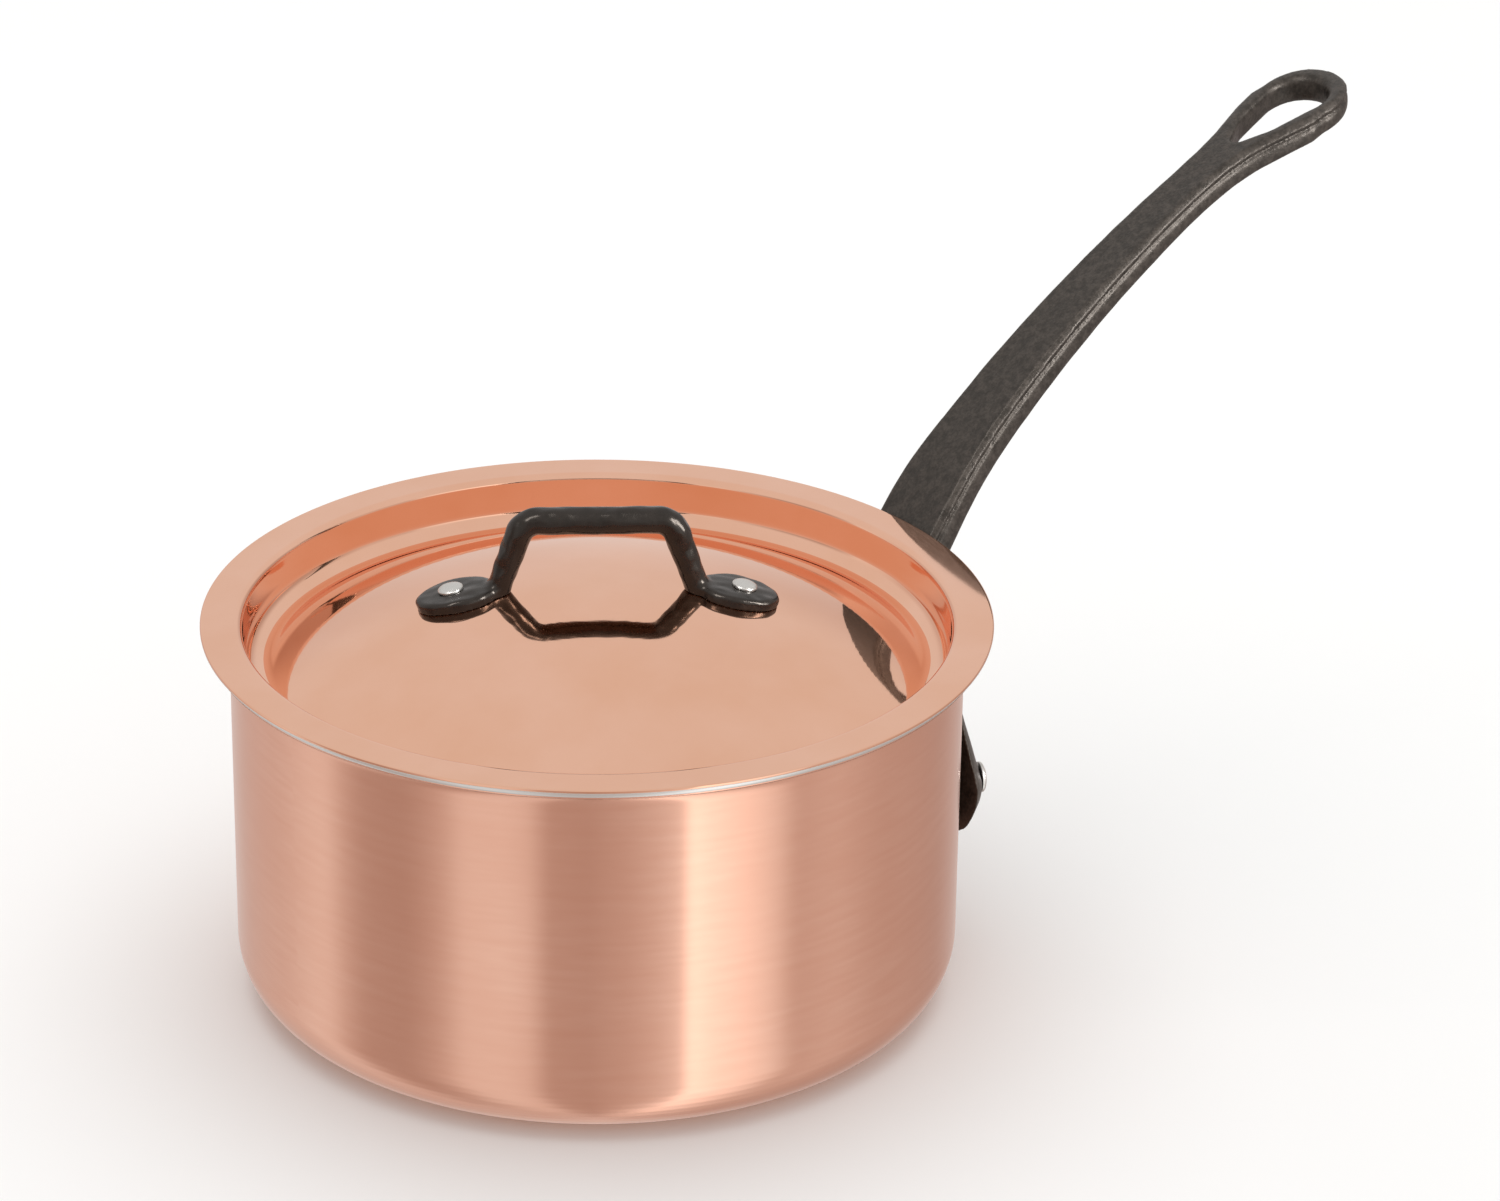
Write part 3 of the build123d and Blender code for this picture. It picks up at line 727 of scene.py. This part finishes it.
# Castings
handleBlocks = [((96, -58, 27), (126, 58, 118)), ((96, -18, 60), (278, 18, 218))]
panGrip = castMesh("panHandle", handleBlocks, panHandle["cell"], panHandleField, finishes["cast"])
lidGripBlock = [((-54, -12, lidTop() - 12), (54, 12, 145))]
lidGrip = castMesh("lidHandle", lidGripBlock, lidHandle["cell"], lidHandleField, finishes["forged"],
                   math.radians(lidHandle["turn"]))
print("castings ready")

# Rivets
unitHead = spin("rivetHead", [(r / mm, z / mm) for r, z in headProfile()], 40, finishes["rivet"], spun)
heads = rivetTree()
panRivets = rivetHeads("panHandleRivets", panRivetSeats(), handleRivets, unitHead, finishes["rivet"], heads)
lidRivetPiece = rivetHeads("lidHandleRivets", lidRivetSeats(), lidRivets, unitHead, finishes["rivet"], heads)
bpy.data.objects.remove(unitHead)
print("rivets ready")

for piece, body, nodes, slot in (
        (panSheet, "pan", ["pan_body"], "copper_satin"), (panLining, "pan", ["pan_lining"], "stainless"),
        (panGrip, "pan", ["handle"], "cast_iron"),
        (panRivets, "pan", ["handle_rivet_top", "handle_rivet_left", "handle_rivet_right"], "stainless"),
        (lidSheet, "lid", ["lid_shell"], "copper_polished"), (lidLining, "lid", ["lid_lining"], "stainless"),
        (lidGrip, "lid", ["lid_handle"], "cast_iron"),
        (lidRivetPiece, "lid", ["lid_rivet_left", "lid_rivet_right"], "stainless")):
    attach(piece, body)
    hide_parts(*nodes)

# Studio: a pale floor, a soft room, one large lamp overhead and two small ones for the ironwork
studio = {
    "floorHalf": 12.0, "lampBase": 0.1,
    # the overhead part takes over between these two heights of a direction
    "overhead": 0.78, "overheadFrom": 0.15, "overheadFull": 0.42,
    # angle from the viewing side, positive to its right, and how bright the low part of the room is there
    "room": [(-180, 0.8), (-145, 0.64), (-115, 0.68), (-100, 0.8), (-91, 0.84), (-84, 0.62), (-76, 0.49),
             (-60, 0.48), (-53, 0.56), (-47, 0.66), (-40, 0.84), (-27, 0.84), (-20, 0.78), (-13, 0.53), (-1, 0.51),
             (12, 0.6), (20, 0.7), (28.5, 0.86), (30.5, 1.62), (38, 1.38), (45, 1.24), (52, 1.1), (59, 0.92),
             (66, 0.62), (82, 0.68), (100, 0.56), (139, 0.5), (160, 0.62), (180, 0.8)],
    # the dim parts of the room are a little warmer
    "dimTint": (1.0, 0.82, 0.76), "dimBelow": 0.85, "dimAt": 0.45,
    # lamps as (name, turn like the room's, elevation, distance in metres, width, height, watts)
    "lamps": [("overheadLamp", 180, 80, 2.2, 2.6, 2.6, 27.0), ("leftLamp", -34, 52, 1.5, 0.35, 0.9, 9.0),
              ("rightLamp", 64, 24, 1.5, 0.4, 0.9, 26.0)],
}
camera = {
    # aim and distance in millimetres, angles in degrees, lens in millimetres on a 36 mm sensor
    "aim": (35.93, -22.66, 113.04), "distance": 1438.0, "azimuth": 38.645, "elevation": 24.497, "roll": 0.8365,
    "lens": 124.006,
}


def makeWorld():
    world = bpy.data.worlds.new("softRoom")
    world.use_nodes = True
    bpy.context.scene.world = world
    tree = world.node_tree
    turn = math.radians(camera["azimuth"])
    way = addNode(tree, "ShaderNodeTexCoord").outputs["Generated"]
    front, right = (addNode(tree, "ShaderNodeVectorMath", {1: axis}, {0: way}, operation="DOT_PRODUCT").outputs[1]
                    for axis in ((-math.sin(turn), -math.cos(turn), 0), (math.cos(turn), -math.sin(turn), 0)))
    angle = addNode(tree, "ShaderNodeMath", links={0: right, 1: front}, operation="ARCTAN2").outputs[0]
    share = addNode(tree, "ShaderNodeMapRange", {"From Min": -math.pi, "From Max": math.pi},
                    {"Value": angle}).outputs[0]
    room = addNode(tree, "ShaderNodeValToRGB", links={0: share})
    # a ramp holds 0 to 1, so its levels are divided here and multiplied back
    ramp, rampScale = room.color_ramp, 4.0
    while len(ramp.elements) < len(studio["room"]):
        ramp.elements.new(0.5)
    for element, (degrees, level) in zip(ramp.elements, studio["room"]):
        element.position = (degrees + 180) / 360
        dim = min(1, max(0, (studio["dimBelow"] - level) / (studio["dimBelow"] - studio["dimAt"])))
        element.color = (*(level / rampScale * (1 - dim + dim * tint) for tint in studio["dimTint"]), 1)
    low = addNode(tree, "ShaderNodeVectorMath", {"Scale": rampScale}, {"Vector": room.outputs[0]},
                  operation="SCALE").outputs[0]
    height = addNode(tree, "ShaderNodeSeparateXYZ", links={0: way}).outputs["Z"]
    rise = addNode(tree, "ShaderNodeMapRange",
                   {"From Min": studio["overheadFrom"], "From Max": studio["overheadFull"]},
                   {"Value": height}, interpolation_type="SMOOTHSTEP").outputs[0]
    mixed = addNode(tree, "ShaderNodeMix", {5: (studio["overhead"],) * 3}, {0: rise, 4: low},
                    data_type="VECTOR").outputs[1]
    tree.links.new(mixed, tree.nodes["Background"].inputs["Color"])


def makeStudio():
    half = studio["floorHalf"]
    mesh = bpy.data.meshes.new("floor")
    mesh.from_pydata([(-half, -half, 0), (half, -half, 0), (half, half, 0), (-half, half, 0)], [], [(0, 1, 2, 3)])
    mesh.materials.append(finishes["floor"])
    floor = bpy.data.objects.new("floor", mesh)
    bpy.context.scene.collection.objects.link(floor)
    ironwork = bpy.data.collections.new("ironwork")
    for piece in (panGrip, lidGrip, panRivets, lidRivetPiece):
        ironwork.objects.link(piece)
    for name, turn, rise, distance, width, height, power in studio["lamps"]:
        lamp = bpy.data.lights.new(name, "AREA")
        lamp.shape, lamp.size, lamp.size_y, lamp.energy = "RECTANGLE", width, height, power
        lampObject = bpy.data.objects.new(name, lamp)
        way = math.radians(camera["azimuth"] + 180 - turn)
        flat = math.cos(math.radians(rise))
        place = Vector((math.sin(way) * flat, math.cos(way) * flat, math.sin(math.radians(rise))))
        lampObject.location = place * distance + Vector((0, 0, studio["lampBase"]))
        lampObject.rotation_euler = place.to_track_quat("Z", "Y").to_euler()
        bpy.context.scene.collection.objects.link(lampObject)
        # the metal shows the soft room, not the card or the big lamp
        lampObject.visible_glossy = name != "overheadLamp"
        # the two side lamps reach the ironwork only, so the polished lid stays clear of them
        if name != "overheadLamp":
            lampObject.light_linking.receiver_collection = ironwork
    floor.visible_glossy = False


def makeCamera():
    turn, tilt, roll = (math.radians(camera[k]) for k in ("azimuth", "elevation", "roll"))
    forward = Vector((math.sin(turn) * math.cos(tilt), math.cos(turn) * math.cos(tilt), -math.sin(tilt)))
    right = Vector((math.cos(turn), -math.sin(turn), 0))
    up = right.cross(forward)
    right, up = right * math.cos(roll) + up * math.sin(roll), up * math.cos(roll) - right * math.sin(roll)
    data = bpy.data.cameras.new("camera")
    data.lens, data.sensor_width, data.sensor_fit = camera["lens"], 36.0, "HORIZONTAL"
    viewer = bpy.data.objects.new("camera", data)
    turned = Matrix((right, up, -forward)).transposed().to_4x4()
    turned.translation = Vector(camera["aim"]) * mm - forward * camera["distance"] * mm
    viewer.matrix_world = turned
    bpy.context.scene.collection.objects.link(viewer)
    bpy.context.scene.camera = viewer


makeWorld()
makeStudio()
makeCamera()
bpy.context.scene.view_settings.view_transform = "Standard"
print("studio ready")
